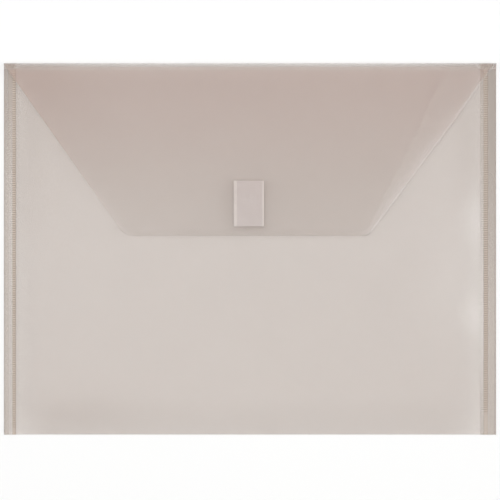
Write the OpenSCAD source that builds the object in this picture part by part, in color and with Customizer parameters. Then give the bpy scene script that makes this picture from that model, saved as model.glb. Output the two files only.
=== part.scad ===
// Translucent document envelope with a tapered flap and a hook-and-loop closure.
// It lies on its back: X runs across, Y runs from the bottom fold up to the flap's crease,
// Z rises from the back panel to the flap. The origin is the middle of the back, underneath.

/* [Envelope] */
// Width across both side seams
envelope_w = 330; // [260:1:400]
// Height from the bottom fold to the flap's crease
envelope_h = 249; // [200:1:320]
// Thickness of the polypropylene sheet
sheet_t = 0.3; // [0.2:0.05:0.5]
// Space between the two panels where they stand widest apart
pocket_gap = 4.8; // [4.4:0.1:9]
// Space left between the two layers at the seams and the bottom fold
pinch_gap = 0.2; // [0.1:0.05:0.4]
// Run of the front panel's shoulders, from each side seam up to its flat
side_shoulder = 16; // [10:1:50]
// Run of the front panel's shoulder from the bottom fold up to its flat
bottom_shoulder = 20; // [10:1:50]
// Distance from the crease's outer edge down to the front panel's free edge
mouth_drop = 2.2; // [1.6:0.1:3.2]

/* [Side seams] */
// Width of the plain strip outside the left weld
left_margin = 2.7; // [1:0.1:8]
// Width of the plain strip outside the right weld
right_margin = 5.3; // [1:0.1:8]
// Width of each ridged weld
weld_w = 5.3; // [3:0.1:8]
// Spacing of the weld's ridges
ridge_pitch = 1.5; // [1.2:0.1:3]
// Width of the groove between two ridges, at the top
groove_w = 0.8; // [0.5:0.05:1]
// Width of the groove between two ridges, at its floor
groove_floor_w = 0.4; // [0.2:0.05:0.45]
// Depth of the groove between two ridges
groove_depth = 0.25; // [0.1:0.05:0.35]
// Plain length of the left weld below its ridges
left_plain = 2.7; // [1:0.1:20]
// Plain length of the right weld below its ridges
right_plain = 13; // [1:0.1:20]

/* [Flap] */
// Distance from the crease's outer edge down to the flap's lower edge
flap_drop = 116; // [80:0.5:150]
// How far the flap's root stands in from each side of the envelope
flap_inset = 2.7; // [0.5:0.1:5]
// Width of the flap's lower edge, measured between its unrounded corners
flap_tip_w = 163.2; // [80:0.1:220]
// Sideways shift of the flap's lower edge
flap_tip_shift = -2; // [-5:0.1:5]
// Radius of the flap's two lower corners
flap_corner_r = 9; // [3:0.5:20]
// Straight run of the crease before the flap begins
crease_tab = 0.5; // [0.3:0.1:2]

/* [Closure pads] */
// Width of each pad across the envelope
pad_w = 20.2; // [14:0.1:30]
// Length of each pad along the envelope
pad_l = 30.6; // [16:0.1:50]
// Sideways shift of the pads
pad_shift = -0.7; // [-10:0.1:10]
// Distance from the flap's lower edge up to the pads
pad_edge = 6.6; // [4:0.1:20]
// Thickness of the adhesive film under each tape
adhesive_t = 0.1; // [0.05:0.05:0.2]
// Thickness of each woven tape
tape_t = 0.35; // [0.3:0.05:0.6]
// Thickness of the tape's bare selvedges
selvedge_t = 0.25; // [0.15:0.05:0.3]
// Width of the left selvedge
left_selvedge = 2; // [0.5:0.1:3]
// Width of the right selvedge
right_selvedge = 1.3; // [0.5:0.1:3]
// Space between the two tapes when the flap is closed
tape_gap = 1.1; // [1.05:0.05:1.6]
// Height of the loops and of the hooks above their tape
pile_h = 0.75; // [0.6:0.05:0.8]
// Thickness of the ground that ties the loops, or the hooks, together
pile_ground = 0.1; // [0.05:0.05:0.15]
// Thickness of the yarn in loops and hooks
yarn_t = 0.22; // [0.15:0.01:0.25]
// Width of one loop
loop_w = 1.2; // [0.9:0.05:1.4]
// How far a loop's shoulders are drawn in by its bend
loop_bend = 0.35; // [0.2:0.05:0.4]
// How far a hook reaches out from its stem
hook_reach = 0.6; // [0.5:0.05:0.8]
// Length of a hook's turned-back barb
hook_barb = 0.15; // [0.1:0.05:0.2]
// Spacing of the loops and of the hooks, both ways
pile_pitch = 2.2; // [1.8:0.1:4]

/* [Hidden] */
$fn = 48;

film_colour = "#cfc6c1";
weld_colour = "#bcafa8";
tape_colour = "#e6dfda";
pile_colour = "#efe9e4";
adhesive_colour = "#d8d2c4";

// Heights of the stack, from the back upwards
seam_t = 2 * sheet_t + pinch_gap;
front_top = 2 * sheet_t + pocket_gap;
pad_stack = 2 * adhesive_t + 2 * tape_t + tape_gap;
flap_low = front_top + pad_stack;

// The crease bends half a turn about the hinge axis, from the back panel to the flap
crease_r = (flap_low + sheet_t) / 2;
hinge_y = envelope_h / 2 - crease_r;

// The bottom fold bends half a turn the other way
fold_r = seam_t / 2;
panel_low = -envelope_h / 2 + fold_r;

// Panels lie between the two welds
panel_left = -envelope_w / 2 + left_margin + weld_w;
panel_right = envelope_w / 2 - right_margin - weld_w;
panel_w = panel_right - panel_left;
mouth_y = envelope_h / 2 - mouth_drop;

// The front panel is worked out on rows and columns of stations
shoulder_steps = 8;
flat_steps = 4;

flap_tip_y = envelope_h / 2 - flap_drop;
flap_root_y = hinge_y - crease_tab;
root_w = envelope_w - 2 * flap_inset;
corner_steps = 8;

pad_left = pad_shift - pad_w / 2;
pad_low = flap_tip_y + pad_edge;
field_w = pad_w - left_selvedge - right_selvedge;
field_left = pad_left + left_selvedge;
loop_columns = floor((field_w - yarn_t) / pile_pitch);
pile_rows = floor((pad_l - loop_w) / pile_pitch);

loop_adhesive_z = front_top;
loop_tape_z = loop_adhesive_z + adhesive_t;
loop_pile_z = loop_tape_z + tape_t;
hook_field_z = loop_pile_z + tape_gap;
hook_tape_z = hook_field_z + tape_t;

// Rises smoothly from 0 to 1 while u goes from 0 to 1
function ease(u) = let (c = min(max(u, 0), 1)) c * c * (3 - 2 * c);
function evenly(low, high, count) = [for (i = [0 : count]) low + (high - low) * i / count];
function inner(list) = [for (i = [1 : len(list) - 2]) list[i]];

// How far the front panel has risen at a place, from 0 at a seam or fold to 1 on its flat
function rise_x(x) = ease(min(x - panel_left, panel_right - x) / side_shoulder);
function rise_y(y) = ease((y - panel_low) / bottom_shoulder);
function panel_z(x, y) = sheet_t + pinch_gap + (pocket_gap - pinch_gap) * rise_x(x) * rise_y(y);
// The free edge stands into the crease where the panel has risen, and ends with the seams
function mouth_at(x) = hinge_y + (mouth_y - hinge_y) * rise_x(x);

// Points of one rounded lower corner of the flap; side is -1 on the left and 1 on the right
function flap_corner(side) =
    let (
        corner_x = flap_tip_shift + side * flap_tip_w / 2,
        root_x = side * root_w / 2,
        lean = atan2(flap_root_y - flap_tip_y, abs(root_x - corner_x)),
        centre = [
            corner_x - side * flap_corner_r * tan(lean / 2),
            flap_tip_y + flap_corner_r
        ]
    )
    [for (a = evenly(0, lean, corner_steps))
        centre + flap_corner_r * [side * sin(a), -cos(a)]];

// A sheet of one thickness whose underside passes through the panel's stations
module front_sheet() {
    flat_left = panel_left + side_shoulder;
    flat_right = panel_right - side_shoulder;
    flat_low = panel_low + bottom_shoulder;
    xs = concat(
        evenly(panel_left, flat_left, shoulder_steps),
        inner(evenly(flat_left, flat_right, flat_steps)),
        evenly(flat_right, panel_right, shoulder_steps)
    );
    ys = concat(
        evenly(panel_low, flat_low, shoulder_steps),
        inner(evenly(flat_low, hinge_y, flat_steps))
    );
    columns = len(xs);
    rows = len(ys) + 1;
    last_row = rows - 1;
    last_column = columns - 1;
    function at(layer, j, i) = (layer * rows + j) * columns + i;
    points = [
        for (layer = [0, 1]) for (j = [0 : last_row]) for (x = xs)
            let (y = j < last_row ? ys[j] : mouth_at(x))
            [x, y, panel_z(x, y) + layer * sheet_t]
    ];
    broad = [
        for (j = [0 : last_row - 1]) for (i = [0 : last_column - 1]) each [
            [at(1, j, i), at(1, j + 1, i), at(1, j + 1, i + 1)],
            [at(1, j, i), at(1, j + 1, i + 1), at(1, j, i + 1)],
            [at(0, j, i), at(0, j + 1, i + 1), at(0, j + 1, i)],
            [at(0, j, i), at(0, j, i + 1), at(0, j + 1, i + 1)]
        ]
    ];
    ends = [
        for (i = [0 : last_column - 1]) each [
            [at(0, 0, i), at(1, 0, i), at(1, 0, i + 1)],
            [at(0, 0, i), at(1, 0, i + 1), at(0, 0, i + 1)],
            [at(0, last_row, i), at(1, last_row, i + 1), at(1, last_row, i)],
            [at(0, last_row, i), at(0, last_row, i + 1), at(1, last_row, i + 1)]
        ]
    ];
    sides = [
        for (j = [0 : last_row - 1]) each [
            [at(0, j + 1, 0), at(1, j + 1, 0), at(1, j, 0)],
            [at(0, j + 1, 0), at(1, j, 0), at(0, j, 0)],
            [at(0, j + 1, last_column), at(1, j, last_column), at(1, j + 1, last_column)],
            [at(0, j + 1, last_column), at(0, j, last_column), at(1, j, last_column)]
        ]
    ];
    polyhedron(points, concat(broad, ends, sides));
}

// Carries a profile drawn in Y and Z along X
module along_x(length) {
    rotate([90, 0, 90]) linear_extrude(length) children();
}

// Half of a ring of sheet, on the side of 2D +X
module half_ring(outer_r) {
    difference() {
        circle(outer_r);
        circle(outer_r - sheet_t);
        translate([-2 * outer_r, -outer_r]) square(2 * outer_r);
    }
}

// The two layers fused together, with grooves pressed across them above a plain length
module weld_profile(plain) {
    low = panel_low - fold_r;
    ridge_count = floor((hinge_y - low - plain) / ridge_pitch);
    first = low + plain + ridge_pitch / 2;
    grooves = [
        for (i = [0 : ridge_count - 1])
            let (middle = first + i * ridge_pitch)
            each [
                [middle - groove_w / 2, seam_t],
                [middle - groove_floor_w / 2, seam_t - groove_depth],
                [middle + groove_floor_w / 2, seam_t - groove_depth],
                [middle + groove_w / 2, seam_t]
            ]
    ];
    polygon(concat([[low, 0], [low, seam_t]], grooves, [[hinge_y, seam_t], [hinge_y, 0]]));
}

module side_seam(margin_x, margin_w, weld_x, plain) {
    low = panel_low - fold_r;
    translate([margin_x, low, 0]) cube([margin_w, hinge_y - low, seam_t]);
    translate([weld_x, 0, 0]) along_x(weld_w) weld_profile(plain);
}

// A tape with a thinner selvedge along each long side, lying face up
module woven_tape() {
    profile = [
        [0, 0], [pad_w, 0], [pad_w, selvedge_t], [pad_w - right_selvedge, selvedge_t],
        [pad_w - right_selvedge, tape_t], [left_selvedge, tape_t],
        [left_selvedge, selvedge_t], [0, selvedge_t]
    ];
    translate([pad_left, pad_low + pad_l, 0]) rotate([90, 0, 0]) linear_extrude(pad_l)
        polygon(profile);
}

module pile_slice() {
    translate([field_left, pad_low, 0]) cube([field_w, pad_l, pile_ground]);
}

// One loop of yarn standing on its tape, its two shoulders cut off by the bend
module loop_shape(width, height, bend) {
    half = width / 2;
    polygon([
        [-half, 0], [half, 0], [half, height - bend], [half - bend, height],
        [bend - half, height], [-half, height - bend]
    ]);
}

module loop_outline() {
    difference() {
        loop_shape(loop_w, pile_h, loop_bend);
        loop_shape(loop_w - 2 * yarn_t, pile_h - yarn_t, loop_bend - yarn_t / 2);
    }
}

// One hook: a stem, a bar across its top and a barb turned back
module hook_outline() {
    stem = yarn_t / 2;
    bar = pile_h - yarn_t;
    polygon([
        [-stem, 0], [stem, 0], [stem, bar], [hook_reach - yarn_t, bar],
        [hook_reach - yarn_t, bar - hook_barb], [hook_reach, bar - hook_barb],
        [hook_reach, bar], [hook_reach - yarn_t, pile_h], [stem, pile_h], [-stem, bar]
    ]);
}

// Rows of one outline along the pad, for each column of the field
module pile_columns(count) {
    first_x = field_left + (field_w - (count - 1) * pile_pitch - yarn_t) / 2;
    first_y = pad_low + (pad_l - (pile_rows - 1) * pile_pitch) / 2;
    for (c = [0 : count - 1])
        translate([first_x + c * pile_pitch, 0, 0]) along_x(yarn_t) {
            translate([pad_low, 0]) square([pad_l, pile_ground]);
            for (r = [0 : pile_rows - 1]) translate([first_y + r * pile_pitch, 0]) children();
        }
}

// Turns a piece of the closure face down, its back at height z
module face_down(z) {
    translate([0, 0, z]) mirror([0, 0, 1]) children();
}

module back_panel() {
    color(film_colour)
        translate([panel_left, panel_low, 0]) cube([panel_w, hinge_y - panel_low, sheet_t]);
}

module front_panel() {
    color(film_colour) front_sheet();
}

module bottom_fold() {
    color(film_colour)
        translate([panel_left, panel_low, fold_r]) along_x(panel_w) mirror([1, 0]) half_ring(fold_r);
}

module left_seam() {
    left = -envelope_w / 2;
    color(weld_colour) side_seam(left, left_margin, left + left_margin, left_plain);
}

module right_seam() {
    right = envelope_w / 2;
    color(weld_colour) side_seam(right - right_margin, right_margin, panel_right, right_plain);
}

// What is cut from the crease's upper half on its right, from the outer side down to the flap's root
module crease_corner() {
    side = envelope_w / 2;
    start_y = envelope_h / 2 - 2 * sheet_t;
    low_y = flap_root_y - sheet_t;
    slant = flap_inset / (start_y - flap_root_y);
    translate([0, 0, crease_r]) linear_extrude(2 * crease_r) polygon([
        [side, start_y], [side + sheet_t, start_y], [side + sheet_t, low_y],
        [side - slant * (start_y - low_y), low_y]
    ]);
}

module flap_crease() {
    color(film_colour) difference() {
        translate([-envelope_w / 2, hinge_y, crease_r]) along_x(envelope_w) {
            half_ring(crease_r);
            translate([-crease_tab, crease_r - sheet_t]) square([crease_tab, sheet_t]);
        }
        crease_corner();
        mirror([1, 0, 0]) crease_corner();
    }
}

module flap_panel() {
    right_side = flap_corner(1);
    left_side = flap_corner(-1);
    outline = concat(
        [[-root_w / 2, flap_root_y]],
        [for (i = [corner_steps : -1 : 0]) left_side[i]],
        right_side,
        [[root_w / 2, flap_root_y]]
    );
    color(film_colour) translate([0, 0, flap_low]) linear_extrude(sheet_t) polygon(outline);
}

module loop_adhesive() {
    color(adhesive_colour)
        translate([pad_left, pad_low, loop_adhesive_z]) cube([pad_w, pad_l, adhesive_t]);
}

module loop_tape() {
    color(tape_colour) translate([0, 0, loop_tape_z]) woven_tape();
}

module loop_pile() {
    color(pile_colour) translate([0, 0, loop_pile_z]) {
        pile_slice();
        pile_columns(loop_columns) loop_outline();
    }
}

module hook_adhesive() {
    color(adhesive_colour)
        translate([pad_left, pad_low, hook_tape_z]) cube([pad_w, pad_l, adhesive_t]);
}

module hook_tape() {
    color(tape_colour) face_down(hook_tape_z) woven_tape();
}

module hook_field() {
    color(pile_colour) face_down(hook_field_z) {
        pile_slice();
        pile_columns(loop_columns - 1) hook_outline();
    }
}

back_panel();
front_panel();
bottom_fold();
left_seam();
right_seam();
flap_crease();
flap_panel();
loop_adhesive();
loop_tape();
loop_pile();
hook_adhesive();
hook_tape();
hook_field();
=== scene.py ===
"""Looks of a translucent document envelope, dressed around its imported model.

The envelope lies on its back: X runs across it, Y from the bottom fold up to the flap's crease, and Z out
of its front. Lengths are metres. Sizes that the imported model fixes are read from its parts.
"""

import logging
import math
from dataclasses import dataclass, field
from enum import Enum
from typing import Any

import bpy
import numpy as np
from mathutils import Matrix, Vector


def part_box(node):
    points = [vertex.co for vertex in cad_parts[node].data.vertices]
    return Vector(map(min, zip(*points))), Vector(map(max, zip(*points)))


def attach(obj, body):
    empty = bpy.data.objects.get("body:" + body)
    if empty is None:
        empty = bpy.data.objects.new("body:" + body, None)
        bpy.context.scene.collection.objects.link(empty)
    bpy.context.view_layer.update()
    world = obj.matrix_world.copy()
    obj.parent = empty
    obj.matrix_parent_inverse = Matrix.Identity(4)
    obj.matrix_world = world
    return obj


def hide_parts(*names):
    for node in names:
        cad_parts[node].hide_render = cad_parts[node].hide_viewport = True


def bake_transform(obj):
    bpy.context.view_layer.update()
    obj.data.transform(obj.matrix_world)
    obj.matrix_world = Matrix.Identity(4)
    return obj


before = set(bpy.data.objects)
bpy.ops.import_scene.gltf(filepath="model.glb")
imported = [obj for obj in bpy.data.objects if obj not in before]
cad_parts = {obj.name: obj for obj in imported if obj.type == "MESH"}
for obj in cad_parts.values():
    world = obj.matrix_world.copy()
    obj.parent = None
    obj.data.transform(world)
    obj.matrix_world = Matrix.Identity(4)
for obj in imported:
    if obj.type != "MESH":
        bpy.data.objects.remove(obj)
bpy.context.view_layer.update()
LOG = logging.getLogger("envelope")
MM = 0.001


# Small tools for colours, nodes and curves


def linear(colour: str) -> tuple[float, float, float, float]:
    """Turns an sRGB hex colour into linear RGBA.

    Args:
        colour: A colour such as "#cfc6c1".

    Returns:
        Four linear channels, the last of them 1.
    """
    channels = np.array([int(colour[i:i + 2], 16) for i in (1, 3, 5)]) / 255.0
    toe = channels / 12.92
    curve = ((channels + 0.055) / 1.055) ** 2.4
    return (*np.where(channels <= 0.04045, toe, curve).tolist(), 1.0)


def add_node(tree: bpy.types.NodeTree, kind: str, inputs: dict[Any, Any] | None = None,
             **settings: Any) -> bpy.types.Node:
    """Adds a node, with its settings, its constants and its links.

    Args:
        tree: The node tree that takes the node.
        kind: Blender's name of the node type.
        inputs: Input name or number to a constant, or to the output socket that feeds it.
        settings: The node's own properties.

    Returns:
        The new node.
    """
    node = tree.nodes.new(kind)
    for name, value in settings.items():
        setattr(node, name, value)
    for key, value in (inputs or {}).items():
        if isinstance(value, bpy.types.NodeSocket):
            tree.links.new(value, node.inputs[key])
        else:
            node.inputs[key].default_value = value
    return node


def ease(u: np.ndarray) -> np.ndarray:
    """Rises smoothly from 0 to 1 while u goes from 0 to 1: three u squared less two u cubed."""
    held = np.clip(u, 0.0, 1.0)
    return held * held * (3.0 - 2.0 * held)


def near(u: np.ndarray) -> np.ndarray:
    """Falls from 1 at u = 0 to 0 at u = 1, as the square of what is left, and stays 0 after."""
    return np.clip(1.0 - u, 0.0, 1.0) ** 2


def bell(u: np.ndarray) -> np.ndarray:
    """A Gaussian of height 1 about u = 0."""
    return np.exp(-u * u)


def joined(*stretches: np.ndarray) -> np.ndarray:
    """One rising or falling list of stations out of stretches that share their end values."""
    return np.concatenate([stretches[0], *(s[1:] for s in stretches[1:])])


# Finishes


NYLON_IOR = 1.53


@dataclass(frozen=True)
class Finish:
    """A material that is built once, under its own name."""

    name: str

    def material(self) -> bpy.types.Material:
        """Builds the material, or finds it if it is there already.

        Returns:
            The material, its surface fed by the finish's own nodes.
        """
        if self.name in bpy.data.materials:
            return bpy.data.materials[self.name]
        made = bpy.data.materials.new(self.name)
        made.use_nodes = True
        tree = made.node_tree
        tree.nodes.clear()
        place = add_node(tree, "ShaderNodeTexCoord").outputs["Object"]
        add_node(tree, "ShaderNodeOutputMaterial", {"Surface": self.surface(tree, place)})
        return made

    def surface(self, tree: bpy.types.NodeTree, place: bpy.types.NodeSocket) -> bpy.types.NodeSocket:
        """Adds the finish's own nodes, which each finish says for itself.

        Args:
            tree: The material's node tree.
            place: The socket that gives Object coordinates.

        Returns:
            The socket that feeds the material's surface.
        """
        raise NotImplementedError


@dataclass(frozen=True)
class SheetPlastic(Finish):
    """Cast polypropylene sheet with a smoke tint and a fine satin emboss.

    Most light goes straight through, so layers darken as they stack. What scatters is warm grey, and the
    surface mirrors a soft, broad image of the lamps.
    """

    tint: str
    solid_share: float
    share_swing: float
    roughness: float
    satin_swing: float = 0.06
    ior: float = 1.49
    cloud_size: float = 70 * MM
    grain_size: float = 1.6 * MM
    grain_depth: float = 0.004 * MM
    mirror: float = 0.03
    edge_mirror: float = 0.5
    glance_power: float = 5.0
    warm_and_shade_tint: str = "#b98a7c"

    def surface(self, tree: bpy.types.NodeTree, place: bpy.types.NodeSocket) -> bpy.types.NodeSocket:
        """Mixes a partly clear body with a soft mirror.

        Args:
            tree: The material's node tree.
            place: The socket that gives Object coordinates.

        Returns:
            The socket that feeds the material's surface.
        """
        # A per-vertex number mixes the tint towards a second tint, and past it. On the flap it warms the
        # sheet towards its root and at the crease's right end. On the seams it is painted shade in the
        # grooves of the weld's shaded half and painted light on their crests, where it is below zero and
        # the tint goes paler, and it darkens the outer margin towards the top
        warmth = add_node(tree, "ShaderNodeAttribute", attribute_name="warmth").outputs["Fac"]
        tint = add_node(tree, "ShaderNodeMix", {
            0: warmth, 6: linear(self.tint), 7: linear(self.warm_and_shade_tint)},
            data_type="RGBA", clamp_factor=False).outputs[2]
        # Cast sheet is never quite even: broad, faint clouds of density
        clouds = add_node(tree, "ShaderNodeTexNoise", {
            "Vector": place, "Scale": 1.0 / self.cloud_size, "Detail": 2.0, "Roughness": 0.45})
        share = add_node(tree, "ShaderNodeMapRange", {
            "Value": clouds.outputs["Fac"], "From Min": 0.3, "From Max": 0.7,
            "To Min": self.solid_share - self.share_swing,
            "To Max": self.solid_share + self.share_swing}).outputs["Result"]
        # A share of haze stored per vertex makes the sheet hazier or clearer in places: where it is pressed
        # or folded, and where it is painted light and shade
        haze = add_node(tree, "ShaderNodeAttribute", attribute_name="haze").outputs["Fac"]
        share = add_node(tree, "ShaderNodeMath", {0: share, 1: haze}, operation="ADD").outputs[0]
        # The emboss is finer than a pixel of the main view; it is drawn coarse enough to soften gloss
        grain = add_node(tree, "ShaderNodeTexNoise", {
            "Vector": place, "Scale": 1.0 / self.grain_size, "Detail": 3.0, "Roughness": 0.6})
        satin = add_node(tree, "ShaderNodeMapRange", {
            "Value": grain.outputs["Fac"], "To Min": self.roughness - self.satin_swing,
            "To Max": self.roughness + self.satin_swing}).outputs["Result"]
        bump = add_node(tree, "ShaderNodeBump", {
            "Height": grain.outputs["Fac"], "Distance": self.grain_depth, "Strength": 1.0})
        body = add_node(tree, "ShaderNodeBsdfPrincipled", {
            "Base Color": tint, "Roughness": satin, "Alpha": share, "IOR": self.ior,
            "Normal": bump.outputs["Normal"]})
        gloss = add_node(tree, "ShaderNodeBsdfGlossy", {
            "Color": (1.0, 1.0, 1.0, 1.0), "Roughness": satin, "Normal": bump.outputs["Normal"]})
        # Mirrors a few parts in a hundred head on, and far more at a glancing angle
        facing = add_node(tree, "ShaderNodeLayerWeight", {"Blend": 0.5}).outputs["Facing"]
        glance = add_node(tree, "ShaderNodeMath", {0: facing, 1: self.glance_power},
                          operation="POWER").outputs[0]
        mirrored = add_node(tree, "ShaderNodeMapRange", {
            "Value": glance, "To Min": self.mirror, "To Max": self.edge_mirror}).outputs["Result"]
        mixed = add_node(tree, "ShaderNodeMixShader", {
            0: mirrored, 1: body.outputs[0], 2: gloss.outputs[0]})
        return mixed.outputs[0]


@dataclass(frozen=True)
class WovenNylon(Finish):
    """Nylon tape woven from fine multifilament yarn, heat-set flat.

    It shows a close plain weave, a dull sheen, and paler bare selvedges along its sides.
    """

    name: str = "woven nylon tape"
    yarn: str = "#d7d0cf"
    shade: str = "#ccc3c2"
    selvedge: str = "#e1dad8"
    thread_spacing: float = 0.7 * MM
    weave_depth: float = 0.05 * MM
    weave_strength: float = 0.8
    speck_size: float = 3 * MM
    sheen: float = 0.15

    def surface(self, tree: bpy.types.NodeTree, place: bpy.types.NodeSocket) -> bpy.types.NodeSocket:
        """Crosses two sets of threads, in colour and in relief, and pales the selvedges.

        Args:
            tree: The material's node tree.
            place: The socket that gives Object coordinates.

        Returns:
            The socket that feeds the material's surface.
        """
        # A wave texture repeats ten times per unit at a scale of pi, so the spacing sets its scale. The
        # real threads are finer; they are drawn at twice their spacing so that they show
        scale = math.pi / 10.0 / self.thread_spacing
        waves = [add_node(tree, "ShaderNodeTexWave", {"Vector": place, "Scale": scale, "Distortion": 0.0},
                          wave_type="BANDS", bands_direction=way).outputs["Fac"] for way in "XY"]
        weave = add_node(tree, "ShaderNodeMath", {0: waves[0], 1: waves[1]},
                         operation="MULTIPLY").outputs[0]
        colour = add_node(tree, "ShaderNodeMix", {
            0: weave, 6: linear(self.shade), 7: linear(self.yarn)}, data_type="RGBA")
        side = add_node(tree, "ShaderNodeAttribute", attribute_name="selvedge").outputs["Fac"]
        banded = add_node(tree, "ShaderNodeMix", {
            0: side, 6: colour.outputs[2], 7: linear(self.selvedge)}, data_type="RGBA")
        specks = add_node(tree, "ShaderNodeTexNoise", {
            "Vector": place, "Scale": 1.0 / self.speck_size, "Detail": 3.0})
        rough = add_node(tree, "ShaderNodeMapRange", {
            "Value": specks.outputs["Fac"], "To Min": 0.6, "To Max": 0.8}).outputs["Result"]
        bump = add_node(tree, "ShaderNodeBump", {
            "Height": weave, "Distance": self.weave_depth, "Strength": self.weave_strength})
        body = add_node(tree, "ShaderNodeBsdfPrincipled", {
            "Base Color": banded.outputs[2], "Roughness": rough, "IOR": NYLON_IOR,
            "Sheen Weight": self.sheen, "Normal": bump.outputs["Normal"]})
        return body.outputs[0]


@dataclass(frozen=True)
class NylonFilament(Finish):
    """Drawn nylon monofilament, as in the hooks, or teased yarn, as in the loops.

    It is milky white, a little brighter where light catches its round side.
    """

    colour: str
    shade: str
    roughness: float
    rough_swing: float = 0.1
    speck_size: float = 0.9 * MM

    def surface(self, tree: bpy.types.NodeTree, place: bpy.types.NodeSocket) -> bpy.types.NodeSocket:
        """Specks an even body with a second shade.

        Args:
            tree: The material's node tree.
            place: The socket that gives Object coordinates.

        Returns:
            The socket that feeds the material's surface.
        """
        specks = add_node(tree, "ShaderNodeTexNoise", {
            "Vector": place, "Scale": 1.0 / self.speck_size, "Detail": 2.0}).outputs["Fac"]
        colour = add_node(tree, "ShaderNodeMix", {
            0: specks, 6: linear(self.shade), 7: linear(self.colour)}, data_type="RGBA")
        rough = add_node(tree, "ShaderNodeMapRange", {
            "Value": specks, "To Min": self.roughness - self.rough_swing,
            "To Max": self.roughness + self.rough_swing}).outputs["Result"]
        body = add_node(tree, "ShaderNodeBsdfPrincipled", {
            "Base Color": colour.outputs[2], "Roughness": rough, "IOR": NYLON_IOR})
        return body.outputs[0]


@dataclass(frozen=True)
class FloorPaint(Finish):
    """Matt white studio floor, even but for a trace of unevenness in the paint."""

    name: str = "matt white floor"
    colour: str = "#f7f7f6"
    shade: str = "#f5f5f5"
    patch_size: float = 0.4

    def surface(self, tree: bpy.types.NodeTree, place: bpy.types.NodeSocket) -> bpy.types.NodeSocket:
        """Patches a matt body with a second shade.

        Args:
            tree: The material's node tree.
            place: The socket that gives Object coordinates.

        Returns:
            The socket that feeds the material's surface.
        """
        patches = add_node(tree, "ShaderNodeTexNoise", {"Vector": place, "Scale": 1.0 / self.patch_size})
        colour = add_node(tree, "ShaderNodeMix", {
            0: patches.outputs["Fac"], 6: linear(self.shade), 7: linear(self.colour)}, data_type="RGBA")
        return add_node(tree, "ShaderNodeBsdfDiffuse", {"Color": colour.outputs[2]}).outputs[0]


SMOKE_SHEET = SheetPlastic("smoke polypropylene sheet", tint="#b9a79a", solid_share=0.142,
                           share_swing=0.0015, roughness=0.45, mirror=0.008)
# Painted highlight: the near-white rim along the flap's right side and along the pocket's mouth
BURR_HIGHLIGHT = SheetPlastic("rolled polypropylene burr", tint="#f0e8e2", solid_share=0.22,
                           share_swing=0.03, roughness=0.3, mirror=0.06)
# A dark cut edge; along the flap's right side it also stands for the edge's shadow line, a painted shadow
CUT_EDGE_AND_SHADOW = SheetPlastic("die-cut polypropylene edge", tint="#6f5a4d", solid_share=0.6,
                        share_swing=0.03, roughness=0.4)
# The weld's second tint is dark brown: painted shade for the grooves of its shaded half, and a darker upper
# margin
FUSED_WELD = SheetPlastic("fused polypropylene weld", tint="#b2a294", solid_share=0.345,
                          share_swing=0.004, roughness=0.32, mirror=0.012, warm_and_shade_tint="#66564b")
FUSED_JOINT = SheetPlastic("sheet run on into the weld", tint="#b9a597", solid_share=0.0, share_swing=0.0,
                           roughness=0.45, mirror=0.0, edge_mirror=0.0)
GUM_FILM = SheetPlastic("acrylic adhesive film", tint="#e4ddd2", solid_share=0.03, share_swing=0.012,
                        roughness=0.4, cloud_size=6 * MM, mirror=0.0, edge_mirror=0.0)
TAPE = WovenNylon()
LOOP_YARN = NylonFilament("teased nylon loop yarn", "#efeae6", "#d8d1cc", 0.65)
HOOK_FILAMENT = NylonFilament("drawn nylon hook filament", "#e9e4e0", "#d2cbc6", 0.4)


# Meshes


class Side(Enum):
    """The four sides of a grid, by its first and last row and column."""

    FIRST_ROW = "first row"
    LAST_ROW = "last row"
    FIRST_COLUMN = "first column"
    LAST_COLUMN = "last column"


class Rim(Enum):
    """How a side of a sheet ends, by the material slots of the upper and the lower strip of its rim.

    A side ends in a plain rim, in a dark cut that is partly a painted shadow line, in a near-white rim that
    is a painted highlight, or in such a highlight with the dark cut below it. Where the sheet runs on into
    its neighbour there is no surface to see.
    """

    PLAIN = (0, 0)
    DARK = (0, 2)
    WHITENED = (1, 1)
    SHARP = (1, 2)
    RUNS_ON = (3, 3)


def quad_mesh(name: str, points: np.ndarray, quads: np.ndarray) -> bpy.types.Object:
    """Makes a smooth-shaded mesh object of four-sided faces and links it to the scene.

    Args:
        name: The piece's name.
        points: Vertices, one row of three numbers each.
        quads: Vertex numbers, four to a face, counterclockwise from outside.

    Returns:
        The new object.
    """
    mesh = bpy.data.meshes.new(name)
    mesh.vertices.add(len(points))
    mesh.vertices.foreach_set("co", points.astype(np.float32).ravel())
    mesh.loops.add(quads.size)
    mesh.loops.foreach_set("vertex_index", quads.astype(np.int32).ravel())
    mesh.polygons.add(len(quads))
    mesh.polygons.foreach_set("loop_start", np.arange(0, quads.size, 4, dtype=np.int32))
    mesh.polygons.foreach_set("use_smooth", np.ones(len(quads), dtype=bool))
    mesh.update(calc_edges=True)
    made = bpy.data.objects.new(name, mesh)
    bpy.context.scene.collection.objects.link(made)
    return made


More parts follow.
